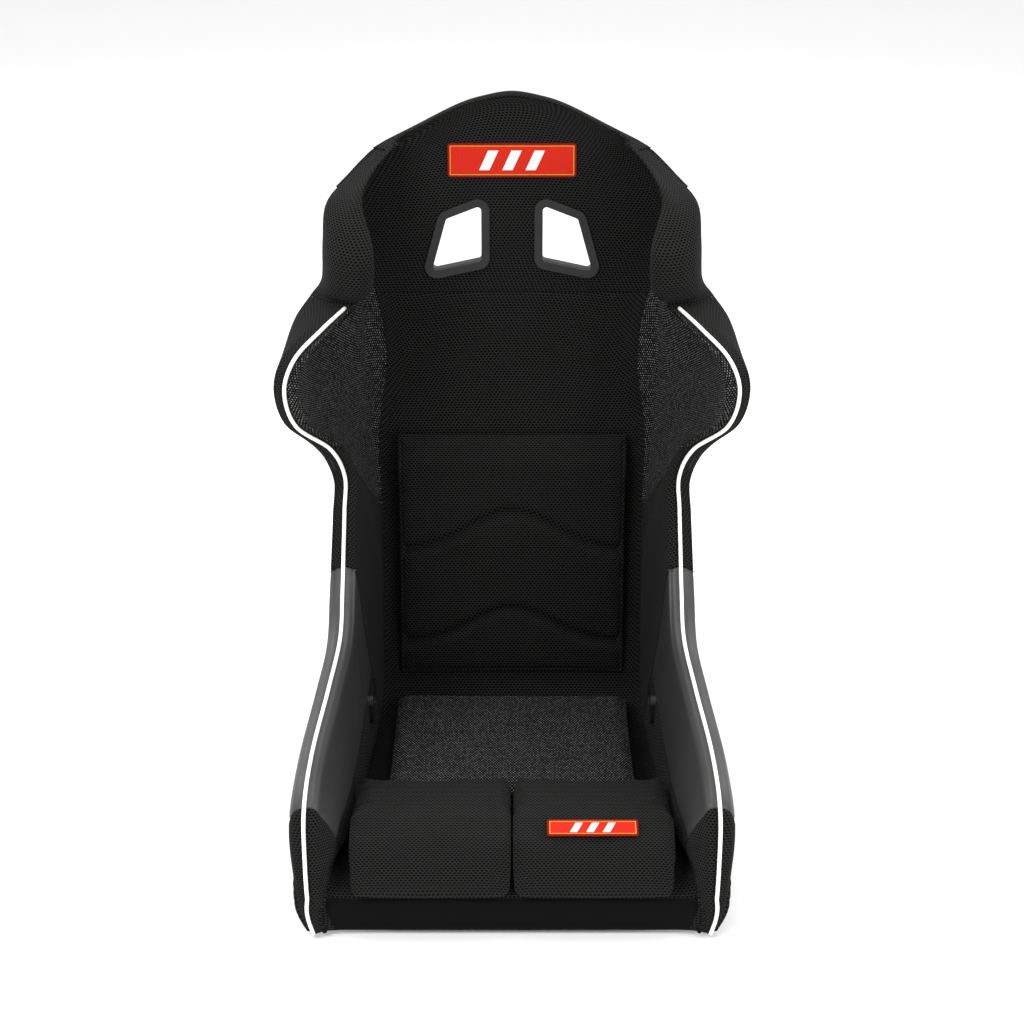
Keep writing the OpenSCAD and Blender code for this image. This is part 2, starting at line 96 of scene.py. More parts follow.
def staggered(tree, u, v, pitch_u, pitch_v, rad_u, rad_v):
    """Rows of ovals, every second row moved half a pitch: 0 at an oval's middle, 1 at its edge."""
    def from_middle(cell, scale):
        off = math_node(tree, "SUBTRACT", math_node(tree, "FRACT", cell), 0.5)
        return math_node(tree, "MULTIPLY", off, scale)

    row = math_node(tree, "DIVIDE", v, pitch_v)
    odd = math_node(tree, "MODULO", math_node(tree, "FLOOR", row), 2.0)
    col = math_node(tree, "ADD", math_node(tree, "DIVIDE", u, pitch_u), math_node(tree, "MULTIPLY", odd, 0.5))
    du = from_middle(col, pitch_u / rad_u)
    dv = from_middle(row, pitch_v / rad_v)
    sq = math_node(tree, "ADD", math_node(tree, "MULTIPLY", du, du), math_node(tree, "MULTIPLY", dv, dv))
    return math_node(tree, "SQRT", sq)


def grey(value):
    return (value, value, value)


def ramp(tree, value, stops):
    r = add(tree, "ShaderNodeValToRGB")
    tree.links.new(value, r.inputs[0])
    e = r.color_ramp.elements
    while len(e) < len(stops):
        e.new(0.5)
    for el, (pos, col) in zip(e, stops):
        el.position = pos
        el.color = (*col, 1)
    return r.outputs[0]


def bump(tree, bsdf, height, distance, strength=1.0):
    n = add(tree, "ShaderNodeBump")
    n.inputs["Distance"].default_value = distance
    n.inputs["Strength"].default_value = strength
    tree.links.new(height, n.inputs["Height"])
    if bsdf.inputs["Normal"].links:
        tree.links.new(bsdf.inputs["Normal"].links[0].from_socket, n.inputs["Normal"])
    tree.links.new(n.outputs[0], bsdf.inputs["Normal"])


def noise(tree, scale, detail=3.0, rough=0.5, vector=None):
    n = add(tree, "ShaderNodeTexNoise")
    n.inputs["Scale"].default_value = scale
    n.inputs["Detail"].default_value = detail
    n.inputs["Roughness"].default_value = rough
    if vector is None:
        vector = add(tree, "ShaderNodeTexCoord").outputs["Object"]
    tree.links.new(vector, n.inputs["Vector"])
    return n.outputs[0]


def uneven_roughness(tree, bsdf, scale, detail, *stops):
    """Roughness that wanders with a noise; each stop is a place on the noise and a roughness."""
    value = ramp(tree, noise(tree, scale, detail), [(place, grey(r)) for place, r in stops])
    tree.links.new(value, bsdf.inputs["Roughness"])


def multiply(tree, factor, base, over):
    n = add(tree, "ShaderNodeMix", data_type="RGBA", blend_type="MULTIPLY")
    n.inputs[0].default_value = factor
    tree.links.new(base, n.inputs[6])
    tree.links.new(over, n.inputs[7])
    return n.outputs[2]


def spacer_fabric():
    """Knitted fabric with rows of open oval holes."""
    m, t, b = new_material("spacer_fabric", (0.008, 0.008, 0.0085), 0.9, Sheen_Weight=0.02,
                           Sheen_Roughness=0.5, Specular_IOR_Level=0.03)
    u, v = surface_uv(t)
    hole = staggered(t, u, v, 0.0052, 0.0036, 0.0023, 0.0016)
    # Painted shade: the open holes are coloured darker than the knit around them and are darkest at their
    # middles.
    col = ramp(t, hole, [(0.0, grey(0.0004)), (0.6, grey(0.0010)),
                         (0.9, (0.0115, 0.0115, 0.0112)), (1.0, (0.0165, 0.0165, 0.0160))])
    wear = ramp(t, noise(t, 22, 4), [(0.3, grey(0.72)), (0.7, grey(1.0))])
    t.links.new(multiply(t, 0.35, col, wear), b.inputs["Base Color"])
    bump(t, b, ramp(t, hole, [(0.35, grey(0)), (1.0, grey(1))]), 0.0012, 0.8)
    bump(t, b, noise(t, 1400, 2), 0.0002, 0.5)
    return m


def grip_fabric():
    """Woven fabric with small raised dots that hold the driver's suit."""
    m, t, b = new_material("grip_fabric", grey(0.008), 0.85, Sheen_Weight=0.01, Specular_IOR_Level=0.04)
    u, v = surface_uv(t)
    dot = staggered(t, u, v, 0.0038, 0.0034, 0.0008, 0.0008)
    # Painted highlight: the raised dots are coloured pale and brightest at their middles. A noise multiplied
    # over them paints sparkling glints on them.
    col = ramp(t, dot, [(0.0, (0.42, 0.42, 0.41)), (0.75, grey(0.24)), (1.0, grey(0.0075))])
    painted_glint = ramp(t, noise(t, 260, 2), [(0.42, grey(0.25)), (0.6, grey(1.0))])
    t.links.new(multiply(t, 1.0, col, painted_glint), b.inputs["Base Color"])
    t.links.new(ramp(t, dot, [(0.7, grey(0.35)), (1.0, grey(0.86))]), b.inputs["Roughness"])
    bump(t, b, ramp(t, dot, [(0.0, grey(1)), (1.0, grey(0))]), 0.0004, 0.6)
    weave = add(t, "ShaderNodeTexWave", wave_type="BANDS")
    weave.inputs["Scale"].default_value = 420
    t.links.new(add(t, "ShaderNodeUVMap", uv_map="cloth").outputs[0], weave.inputs["Vector"])
    bump(t, b, weave.outputs[1], 0.00015, 0.5)
    return m


def grained_vinyl(name, colour, shine):
    m, t, b = new_material(name, colour, 0.5, Specular_IOR_Level=shine)
    cells = add(t, "ShaderNodeTexVoronoi", feature="DISTANCE_TO_EDGE")
    cells.inputs["Scale"].default_value = 700
    t.links.new(add(t, "ShaderNodeTexCoord").outputs["Object"], cells.inputs["Vector"])
    bump(t, b, cells.outputs["Distance"], 0.0003, 0.35)
    bump(t, b, noise(t, 60, 4), 0.0008, 0.25)
    uneven_roughness(t, b, 14, 5, (0.3, 0.38), (0.75, 0.54))
    return m


def composite():
    m, t, b = new_material("moulded_composite", (0.007, 0.007, 0.008), 0.5, Specular_IOR_Level=0.22)
    bump(t, b, noise(t, 240, 3), 0.0002, 0.3)
    uneven_roughness(t, b, 40, 5, (0.3, 0.44), (0.7, 0.58))
    return m


def moulded_plastic():
    m, t, b = new_material("moulded_plastic", (0.008, 0.008, 0.0085), 0.4, Specular_IOR_Level=0.3)
    bump(t, b, noise(t, 900, 2), 0.00012, 0.5)
    uneven_roughness(t, b, 50, 3, (0.3, 0.36), (0.7, 0.48))
    return m


def piping_cord():
    m, t, b = new_material("piping_cord", (0.88, 0.88, 0.86), 0.45, Specular_IOR_Level=0.4)
    bump(t, b, noise(t, 500, 3), 0.0002, 0.4)
    return m


def threaded_steel():
    m, t, b = new_material("plated_steel", (0.6, 0.61, 0.63), 0.32, Metallic=1.0)
    bump(t, b, noise(t, 300, 3), 0.0001, 0.4)
    return m


def hook_tape():
    m, t, b = new_material("hook_tape", (0.008, 0.008, 0.008), 0.7)
    bump(t, b, noise(t, 900, 1), 0.0006, 0.8)
    return m


def twill_badge(node, along):
    """Plain red badge with an overlocked edge and three slanted stripes."""
    m, t, b = new_material(node + "_twill", (0.5, 0.018, 0.008), 0.75, Specular_IOR_Level=0.1)
    lo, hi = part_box(node)
    mid = [(a + c) / 2 for a, c in zip(lo, hi)]
    half_x = (hi[0] - lo[0]) / 2
    half_v = (hi[along] - lo[along]) / 2
    split = add(t, "ShaderNodeSeparateXYZ")
    t.links.new(add(t, "ShaderNodeTexCoord").outputs["Object"], split.inputs[0])
    x = math_node(t, "SUBTRACT", split.outputs[0], mid[0])
    v = math_node(t, "SUBTRACT", split.outputs[along], mid[along])
    edge = math_node(t, "MINIMUM", math_node(t, "SUBTRACT", half_x, math_node(t, "ABSOLUTE", x)),
                     math_node(t, "SUBTRACT", half_v, math_node(t, "ABSOLUTE", v)))
    lean = math_node(t, "ADD", x, math_node(t, "MULTIPLY", v, -0.45))
    pitch = half_x * 0.36
    bar = math_node(t, "ABSOLUTE", math_node(t, "SUBTRACT", math_node(t, "FRACT",
                    math_node(t, "ADD", math_node(t, "DIVIDE", lean, pitch), 0.5)), 0.5))
    in_bar = math_node(t, "MULTIPLY", math_node(t, "LESS_THAN", bar, 0.22),
                       math_node(t, "LESS_THAN", math_node(t, "ABSOLUTE", lean), pitch * 1.5))
    in_bar = math_node(t, "MULTIPLY", in_bar, math_node(t, "GREATER_THAN", edge, half_v * 0.42))
    face = add(t, "ShaderNodeMix", data_type="RGBA")
    t.links.new(in_bar, face.inputs[0])
    face.inputs[6].default_value = (0.5, 0.018, 0.008, 1)
    face.inputs[7].default_value = (0.82, 0.82, 0.8, 1)
    hem = add(t, "ShaderNodeMix", data_type="RGBA")
    t.links.new(math_node(t, "LESS_THAN", edge, 0.0028), hem.inputs[0])
    t.links.new(face.outputs[2], hem.inputs[6])
    hem.inputs[7].default_value = (0.2, 0.006, 0.004, 1)
    line = add(t, "ShaderNodeMix", data_type="RGBA")
    t.links.new(math_node(t, "MULTIPLY", math_node(t, "GREATER_THAN", edge, 0.0028),
                          math_node(t, "LESS_THAN", edge, 0.0040)), line.inputs[0])
    t.links.new(hem.outputs[2], line.inputs[6])
    line.inputs[7].default_value = (0.62, 0.24, 0.02, 1)
    t.links.new(line.outputs[2], b.inputs["Base Color"])
    slant = math_node(t, "ADD", split.outputs[0], split.outputs[along])
    thread = math_node(t, "SINE", math_node(t, "MULTIPLY", slant, 5200.0))
    bump(t, b, thread, 0.00018, 0.6)
    return m


SPACER = spacer_fabric()
GRIP = grip_fabric()
VINYL = grained_vinyl("grained_vinyl", (0.030, 0.030, 0.030), 0.35)
LIP_VINYL = grained_vinyl("black_vinyl", (0.0035, 0.0035, 0.0035), 0.03)
COMPOSITE = composite()
PLASTIC = moulded_plastic()
CORD = piping_cord()
STEEL = threaded_steel()
TAPE = hook_tape()


# ------------------------------------------------- the bucket's own loft, in millimetres
# Each station: the base line's Y and Z, the edge's Y and Z, half width at the edge and at the
# corner, reach of the corner's curve, bow of the wall, droop of the edge, depth of the rim, and
# extra padding on the wall
STATIONS = np.array([
    [-294, 5, -313, 8, 246, 238, 42, 0, 0, 22, 0],
    [-295, 30, -318, 52, 258, 250, 45, 0, 0, 34, 0],
    [-286, 49, -317, 112, 263, 250, 45, 0, 0, 40, 8],
    [-252, 54, -297, 178, 264, 248, 46, 2, 0, 42, 18],
    [-172, 36, -215, 209, 258, 242, 40, 2, 0, 40, 20],
    [-82, 14, -115, 243, 242, 234, 33, 4, 0, 37, 16],
    [18, 2, -32, 272, 231, 224, 55, 4, 0, 36, 12],
    [140, 2, 24, 315, 230, 214, 45, 5, 0, 36, 10],
    [212, 32, 52, 362, 228, 206, 42, 6, 0, 34, 8],
    [238, 105, 68, 410, 226, 202, 38, 4, 0, 33, 6],
    [250, 200, 75, 456, 225, 200, 36, 0, 0, 33, 4],
    [267, 320, 57, 502, 241, 200, 36, 2, 0, 33, 2],
    [283, 430, 22, 548, 281, 202, 38, 6, 0, 34, 0],
    [294, 520, 5, 600, 292, 204, 70, 12, 0, 34, 0],
    [300, 580, 9, 640, 278, 208, 70, 24, 0, 34, 0],
    [304, 625, 50, 664, 244, 214, 60, 38, 0, 34, 0],
    [306, 655, 112, 676, 212, 222, 55, 40, 0, 36, 0],
    [306, 690, 88, 702, 216, 230, 50, 16, 0, 56, 0],
    [306, 755, 84, 752, 214, 230, 60, 14, 0, 56, 0],
    [306, 830, 132, 796, 216, 226, 90, 10, 44, 42, 0],
    [304, 880, 205, 814, 194, 210, 110, 4, 76, 34, 0],
    [300, 899, 262, 836, 160, 184, 110, 0, 64, 30, 0],
], float)
LAST = len(STATIONS) - 1
SHIFT_Y, WALL_T, COVER, FLOOR_PAD, OUT_PAD = 4.0, 4.0, 3.0, 11.0, 9.0
RIM = np.radians([12, 45, 90])
MID = 10              # middle column of the 21 on the inner side
OUTER = 6             # columns before column 0, round the rim to the outer side


def smooth_step(a, b, c, d, f):
    """Point at share f of the way from b to c, on a curve through all four."""
    return 0.5 * (2 * b + (c - a) * f + (2 * a - 5 * b + 4 * c - d) * f**2 + (3 * b - a - 3 * c + d) * f**3)


def station(t):
    i = min(int(math.floor(t)), LAST - 1)
    f = t - i
    a, b, c, d = (STATIONS[min(max(i + q, 0), LAST)] for q in (-1, 0, 1, 2))
    return smooth_step(a, b, c, d, f)


def ribs(t, layer, bucket=False):
    """Points across station t, sitter's right first: the front columns, then the rear ones."""
    s = station(t)
    up = np.array([s[2] - s[0], s[3] + s[8] - s[1]])
    length = np.linalg.norm(up)
    unit = up / length
    edge, corner = np.array([s[4], length]), np.array([s[5], 0.0])
    full = np.linalg.norm(edge - corner)
    reach = min(s[6], full / 2)
    down = (corner - edge) / full
    side = np.array([down[1], -down[0]])
    wall = full - reach
    r = min(s[9] / 2, 0.92 * wall)

    def on_wall(d):
        return edge + down * d + np.array([s[7] * 4 * (d / wall) * (1 - d / wall), 0])

    top, foot = on_wall(wall), corner - np.array([s[6], 0])
    pts = [(on_wall(r - (r - layer) * math.cos(a)), side) for a in RIM]
    pts += [(on_wall(r + (wall - r) * f), side) for f in (1 / 3, 2 / 3, 1)]
    for q in (1, 2, 3):
        f = q / 3
        g = (corner - top) * (1 - f) + (foot - corner) * f
        pts.append((top * (1 - f) ** 2 + corner * 2 * f * (1 - f) + foot * f * f,
                    np.array([g[1], -g[0]]) / np.linalg.norm(g)))
    pts += [(np.array([foot[0] * (1 - q / 2), 0.0]), np.array([0.0, 1.0])) for q in (1, 2)]

    def put(i, inner):
        p, n = pts[i]
        if bucket:
            off = WALL_T / 2 if inner else -WALL_T / 2
        elif i < 3:
            off = r - OUT_PAD + (1 if inner else -1) * (r - layer) * math.sin(RIM[i])
        elif inner:
            f = min(1, (i - 2) / 6)
            ease = f * f * (3 - 2 * f)
            off = (2 * r - OUT_PAD) * (1 - ease) + FLOOR_PAD * ease + s[10] * math.sin(math.pi * f) - layer
        else:
            off = layer - OUT_PAD
        q = p + n * off
        return np.array([q[0], s[0] + unit[0] * q[1] + SHIFT_Y,
                         s[1] + unit[1] * q[1] - s[8] * min(1, abs(q[0]) / s[4]) ** 1.8])

    half = [put(-1 - j, False) for j in range(-OUTER, 0)] + [put(j, True) for j in range(MID + 1)]
    half = [h * (-1, 1, 1) for h in half]
    rear = [put(i, False) for i in range(MID + 1)]
    rear = [h * (-1, 1, 1) for h in rear]
    return (np.array(half + [h * (-1, 1, 1) for h in half[-2::-1]]),
            np.array(rear + [h * (-1, 1, 1) for h in rear[-2::-1]]))


def across(points, first, cs):
    """Smooth curve through a rib's points, read at columns cs."""
    out = []
    for c in cs:
        i = int(min(max(math.floor(c - first), 0), len(points) - 2))
        f = c - first - i
        a, b, e, d = (points[min(max(i + q, 0), len(points) - 1)] for q in (-1, 0, 1, 2))
        out.append(smooth_step(a, b, e, d, f))
    return np.array(out)


def spread(a, b, steps):
    """Steps from a to b, closer together next to both seams."""
    q = np.linspace(0, 1, steps)
    near = np.array([0.006, 0.018, 0.035])
    return a + (b - a) * np.unique(np.concatenate([q, near, 1 - near]))


def finish_piece(obj, mat, slot_name, hides, body=ROOT, fill=0.95, soft=True):
    obj.data.materials.clear()
    obj.data.materials.append(mat)
    for p in obj.data.polygons:
        p.use_smooth = True
    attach(obj, body)
    if hides:
        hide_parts(*hides)
    return obj


def link_new(name, data):
    obj = bpy.data.objects.new(name, data)
    bpy.context.scene.collection.objects.link(obj)
    return obj


def node_mesh(name):
    """A copy of a CAD node's mesh, in the shared frame."""
    me = nodes[name].data.copy()
    me.transform(nodes[name].matrix_world)
    return me


def grid_mesh(name, g, uv, flip):
    rows, n = g.shape[:2]
    faces = []
    for r in range(rows - 1):
        for j in range(n - 1):
            a = r * n + j
            q = (a, a + 1, a + n + 1, a + n)
            faces.append(q[::-1] if flip else q)
    me = bpy.data.meshes.new(name)
    me.from_pydata([tuple(p) for p in g.reshape(-1, 3) * MM], [], faces)
    layer = me.uv_layers.new(name="cloth")
    flat = uv.reshape(-1, 2) * MM
    for loop in me.loops:
        layer.data[loop.index].uv = flat[loop.vertex_index]
    return link_new(name, me)


def run_modifier(obj, kind, **props):
    m = obj.modifiers.new(kind, kind)
    for key, value in props.items():
        setattr(m, key, value)
    clear_selection()
    bpy.context.view_layer.objects.active = obj
    obj.select_set(True)
    bpy.ops.object.modifier_apply(modifier=m.name)


def normals_of(g):
    du, dv = np.gradient(g, axis=1), np.gradient(g, axis=0)
    n = np.cross(du, dv)
    return n / np.maximum(np.linalg.norm(n, axis=2, keepdims=True), 1e-9)


SEAM_W, PUFF_W = 3.2, 16.0      # how far from a seam the cover is drawn in, and swells


def panel(name, t0, t1, c0, c1, mat, slot_name, hides, sign=1.0, rear=False, puff=0.0, pull=1.6):
    """One sewn cover panel over the foam, with its seams and open edges drawn in."""
    ts = spread(t0, t1, max(10, int((t1 - t0) * 11)))
    cs = spread(c0, c1, max(9, int((c1 - c0) * 8)))
    first, pick = (0, 1) if rear else (-OUTER, 0)
    g = np.array([across(ribs(t, 0.0)[pick], first, cs) for t in ts])
    core = np.array([across(ribs(t, 0.0, bucket=True)[pick], first, cs) for t in ts])
    if sign > 0:
        g, core = g * (-1, 1, 1), core * (-1, 1, 1)
    ds = np.linalg.norm(np.diff(g, axis=1), axis=2)
    dt = np.linalg.norm(np.diff(g, axis=0), axis=2)
    u = np.concatenate([np.zeros((len(ts), 1)), np.cumsum(ds, axis=1)], axis=1)
    v = np.concatenate([np.zeros((1, len(cs))), np.cumsum(dt, axis=0)], axis=0)
    gap = np.minimum(np.minimum(u, u[:, -1:] - u), np.minimum(v, v[-1:, :] - v))
    n = normals_of(g)
    facing = 1.0 if np.mean(np.sum((g - core) * n, axis=2)) > 0 else -1.0
    seam = np.exp(-((gap / SEAM_W) ** 2))
    lift = -pull * seam + puff * (1 - np.exp(-((gap / PUFF_W) ** 2)))
    g = g + n * (facing * lift)[:, :, None]
    obj = grid_mesh(name, g, np.stack([u, v], axis=2), facing < 0)
    run_modifier(obj, "SOLIDIFY", thickness=SHEET_T, offset=-1.0)
    return finish_piece(obj, mat, slot_name, hides)


SKIN = 0.0002         # least depth of a pad's cover below the CAD solid's surface
CROWN_W = 15.0        # width of the band that curves down to a pad's edge
PAD_VOXEL = 0.005
SHRINK = 0.0008       # a pad is drawn in this much before it is blown up


def blow_up(obj):
    """Twenty frames of cloth under pressure, kept as the mesh."""
    cloth = obj.modifiers.new("blow", "CLOTH")
    cloth.settings.use_pressure = True
    cloth.settings.uniform_pressure_force = 4.0
    cloth.settings.effector_weights.gravity = 0.0
    cloth.settings.quality = 5
    for f in range(1, 21):
        bpy.context.scene.frame_set(f)
    clear_selection()
    bpy.context.view_layer.objects.active = obj
    obj.select_set(True)
    bpy.ops.object.modifier_apply(modifier=cloth.name)
    bpy.context.scene.frame_set(1)


def keep_inside(obj, start, cap, tree):
    """No point moves further than cap from where it started, or leaves the CAD solid."""
    now = np.array([v.co for v in obj.data.vertices])
    move = now - start
    far = np.linalg.norm(move, axis=1, keepdims=True)
    now = start + move * np.minimum(1.0, cap * MM / np.maximum(far, 1e-9))
    for v, p in zip(obj.data.vertices, now):
        q = Vector(p)
        loc, normal, _, _ = tree.find_nearest(q)
        if (q - loc).dot(normal) > -SKIN:
            q = loc - normal * SKIN
        v.co = q


def sew(obj, node, crown, corner, facing, groove):
    """Draw the face in at its edges and channels, and round the corners of its outline."""
    lo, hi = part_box(node)
    along = 1 if facing[2] > 0.9 else 2
    face = Vector(facing).normalized()
    reach = corner * MM
    moves = []
    for v in obj.data.vertices:
        front = min(1.0, max(0.0, (v.normal.dot(face) - 0.25) / 0.4))
        away = min(v.co.x - lo[0], hi[0] - v.co.x, v.co[along] - lo[along], hi[along] - v.co[along]) * 1000
        d = crown * math.exp(-((max(0.0, away) / CROWN_W) ** 2)) * front
        if groove:
            d += groove(v.co.x * 1000, v.co.z * 1000) * front
        moves.append(v.normal * d * -0.001)
    for v, m in zip(obj.data.vertices, moves):
        v.co += m
        past_x = max(lo[0] + reach - v.co.x, v.co.x - hi[0] + reach)
        past_end = max(lo[along] + reach - v.co[along], v.co[along] - hi[along] + reach)
        if past_x > 0 and past_end > 0 and math.hypot(past_x, past_end) > reach:
            k = 1 - reach / math.hypot(past_x, past_end)
            v.co.x -= math.copysign(past_x * k, v.co.x - (lo[0] + hi[0]) / 2)
            v.co[along] -= math.copysign(past_end * k, v.co[along] - (lo[along] + hi[along]) / 2)


def cloth_uv(obj):
    """UV in metres, so that the weave runs the same way over the face and the border."""
    layer = obj.data.uv_layers.new(name="cloth")
    for poly in obj.data.polygons:
        side = abs(poly.normal.x) > 0.75
        for li in poly.loop_indices:
            co = obj.data.vertices[obj.data.loops[li].vertex_index].co
            layer.data[li].uv = (co.y, co.z) if side else (co.x, co.y + co.z)


def cushion(node, mat, slot_name, cap=6.0, crown=4.0, corner=12, facing=(0, 0, 1), groove=None):
    """A foam pad in a sewn cover, made from its plain solid and riding on its own body."""
    me = node_mesh(node)
    obj = link_new(node + "_cover", me)
    bm = bmesh.new()
    bm.from_mesh(me)
    bmesh.ops.remove_doubles(bm, verts=bm.verts, dist=WELD)
    bmesh.ops.dissolve_limit(bm, angle_limit=0.01, verts=bm.verts, edges=bm.edges)
    tree = BVHTree.FromBMesh(bm)
    bm.to_mesh(me)
    bm.free()
    run_modifier(obj, "BEVEL", width=0.011, segments=5, limit_method="ANGLE", angle_limit=0.6)
    run_modifier(obj, "REMESH", mode="VOXEL", voxel_size=PAD_VOXEL)
    run_modifier(obj, "DISPLACE", strength=-SHRINK, mid_level=0.0)
    start = np.array([v.co for v in obj.data.vertices])
    blow_up(obj)
    keep_inside(obj, start, cap, tree)
    run_modifier(obj, "SUBSURF", levels=1, render_levels=1)
    obj.data.update()
    sew(obj, node, crown, corner, facing, groove)
    run_modifier(obj, "SMOOTH", factor=0.5, iterations=3)
    cloth_uv(obj)
    return finish_piece(obj, mat, slot_name, [node], node, fill=0.9)


def cord_along(name, path, radius, mat, slot_name, hides, sides=12):
    """A round cord of one thickness along a path, closed at both ends."""
    path = np.array(path)
    d = np.gradient(path, axis=0)
    d /= np.linalg.norm(d, axis=1, keepdims=True)
    u = np.cross(d, [1.0, 0, 0])
    u /= np.linalg.norm(u, axis=1, keepdims=True)
    w = np.cross(d, u)
    ang = np.linspace(0, 2 * math.pi, sides, endpoint=False)
    verts = [p + radius * (uu * math.cos(a) + ww * math.sin(a)) for p, uu, ww in zip(path, u, w) for a in ang]
    turn = [(a, (a + 1) % sides) for a in range(sides)]
    faces = [(r * sides + a, r * sides + b, (r + 1) * sides + b, (r + 1) * sides + a)
             for r in range(len(path) - 1) for a, b in turn]
    faces += [tuple(range(sides - 1, -1, -1)), tuple((len(path) - 1) * sides + a for a in range(sides))]
    me = bpy.data.meshes.new(name)
    me.from_pydata([tuple(v * MM) for v in verts], [], faces)
    bm = bmesh.new()
    bm.from_mesh(me)
    bmesh.ops.recalc_face_normals(bm, faces=bm.faces)
    bm.to_mesh(me)
    bm.free()
    return finish_piece(link_new(name, me), mat, slot_name, hides, soft=False)


# ---------------------------------------------------------------- covers
SPACER_FINISH = (SPACER, "mesh_fabric")
VINYL_FINISH = (VINYL, "vinyl")
GRIP_FINISH = (GRIP, "grip_fabric")
# Panels of one side: first and last station, first and last column, finish, the nodes each
# one stands for, and how far it swells between its seams
SIDE_PANELS = [
    ("lower_side", 0, 3, -4, 0, SPACER_FINISH, ("lower_outer_cover", "thigh_foam"), 0.0),
    ("lower_bolster", 0, 3, 0, 7, SPACER_FINISH, ("lower_inner_cover",), 0.0),
    ("wear_side", 3, 7.5, -4, 0, VINYL_FINISH, ("vinyl_outer",), 0.0),
    ("wear_bolster", 3, 7.5, 0, 4, VINYL_FINISH, ("vinyl_inner",), 0.0),
    ("hip_panel", 3, 7.5, 4, 7, SPACER_FINISH, ("hip_cover",), 0.0),
    ("gusset", 7.5, 16, -4, 0, SPACER_FINISH, ("shoulder_gusset",), 0.0),
    ("waist_panel", 7.5, 11, 0, 7, SPACER_FINISH, ("waist_cover", "torso_foam"), 0.0),
    ("shoulder_panel", 11, 16, 0, 7, GRIP_FINISH, ("shoulder_grip", "shoulder_foam"), 0.0),
    ("wing_front", 16, 21, -4, 2, SPACER_FINISH, ("wing_band", "wing_foam"), 2.5),
    ("wing_lining_panel", 16, 21, 2, 7, SPACER_FINISH, ("wing_lining",), 0.0),
]
for word, sign in SIDES.items():
    for name, t0, t1, c0, c1, finish, hides, puff in SIDE_PANELS:
        panel(f"{name}_{word}", t0, t1, c0, c1, *finish, [f"{node}_{word}" for node in hides], sign, puff=puff)
panel("lip_panel", 0, 1.5, 7, 13, LIP_VINYL, "vinyl", ["lip_cover"])
panel("pan_panel", 1.5, 6, 7, 13, *SPACER_FINISH, ["pan_cover", "pan_foam"])
panel("back_panel", 6, 15, 7, 13, *SPACER_FINISH, ["back_cover", "back_foam"])
panel("crown_rear_panel", 19.5, 21, 3, 17, *SPACER_FINISH, ["crown_rear_cover", "crown_rear_foam"], rear=True)
head = panel("head_panel", 15, 21, 7, 13, *SPACER_FINISH, ["head_cover", "head_foam"])

# The belt openings are cut through the head panel with the frames' own outer shape
CUT_PAST = 0.03
for word in SIDES:
    lo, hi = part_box(f"slot_frame_{word}")
    me = node_mesh(f"slot_frame_{word}")
    bm = bmesh.new()
    bm.from_mesh(me)
    bmesh.ops.convex_hull(bm, input=bm.verts)
    for v in bm.verts:
        v.co.y += CUT_PAST if v.co.y > (lo[1] + hi[1]) / 2 else -CUT_PAST
    bmesh.ops.recalc_face_normals(bm, faces=bm.faces)
    bm.to_mesh(me)
    bm.free()
    cutter = link_new("cutter", me)
    run_modifier(head, "BOOLEAN", operation="DIFFERENCE", solver="EXACT", object=cutter)
    bpy.data.objects.remove(cutter)


ROLL_COLS, ROLL_ROWS, ROLL_RISE, ROLL_GIRTH = 121, 13, 0.55, 34


def crown_roll():
    """Padded roll that closes the top edge between the front and rear covers."""
    cs = np.linspace(0, 2 * MID, ROLL_COLS)
    front = across(ribs(LAST, 0.0)[0], -OUTER, cs)
    back = across(ribs(LAST, 0.0)[1], 0, cs)
    below = across(ribs(LAST - 0.1, 0.0)[0], -OUTER, cs)
    up = front - below
    up /= np.linalg.norm(up, axis=1, keepdims=True)
    centre, half = (front + back) / 2, (front - back) / 2
    rise = up * np.linalg.norm(half, axis=1, keepdims=True) * ROLL_RISE
    g = np.array([centre + half * math.cos(a) + rise * math.sin(a) for a in np.linspace(0, math.pi, ROLL_ROWS)])
    u = np.concatenate([[0], np.cumsum(np.linalg.norm(np.diff(front, axis=0), axis=1))])
    v = np.linspace(0, ROLL_GIRTH, ROLL_ROWS)
    uv = np.stack([np.tile(u, (ROLL_ROWS, 1)), np.repeat(v[:, None], ROLL_COLS, axis=1)], axis=2)
    top = normals_of(g)[ROLL_ROWS // 2]
    obj = grid_mesh("crown_roll", g, uv, np.mean(top @ np.array([0, 0, 1.0])) < 0)
    run_modifier(obj, "SOLIDIFY", thickness=SHEET_T, offset=-1.0)
    return finish_piece(obj, *SPACER_FINISH, ["crown_foam"])


crown_roll()


# ---------------------------------------------------------------- piping along the rim
PIPING_LIFT, PIPING_R, PIPING_END = 2.6, 2.5, 15.75


def crest_pair(t):
    """The two points of the cover's lower layer on either side of the rim's highest line."""
    rib = ribs(t, COVER)[0]
    return rib[OUTER - 1], rib[OUTER]


def crest(t):
    """Middle of the piping at station t, lifted along the surface's normal."""
    a, b = crest_pair(t)
    ahead = sum(crest_pair(min(t + 0.1, LAST))) / 2 - sum(crest_pair(max(t - 0.1, 0))) / 2
    n = np.cross(b - a, ahead)
    p = (a + b) / 2 + n / np.linalg.norm(n) * PIPING_LIFT
    return p * (-1, 1, 1)


for word, sign in SIDES.items():
    line = [crest(t) * (sign, 1, 1) for t in np.linspace(0, PIPING_END, 260)]
    cord_along(f"piping_cord_{word}", line, PIPING_R, CORD, "piping", [f"piping_{word}"])


# ---------------------------------------------------------------- lift-out pads
CHANNELS = [(326, 58, 62), (182, 51, 58)]      # height at the middle, fall to the sides, half width
CHANNEL_D, CHANNEL_W = 7.5, 7.5


def back_grooves(x, z):
    """Depth of the back pad's two sewn channels, which arch over the middle."""
    deep = 0.0
    for peak, drop, reach in CHANNELS:
        line = peak - drop * (1 - math.exp(-((x / reach) ** 2) * 0.55))
        deep = max(deep, CHANNEL_D * math.exp(-(((z - line) / CHANNEL_W) ** 2)))
    return deep


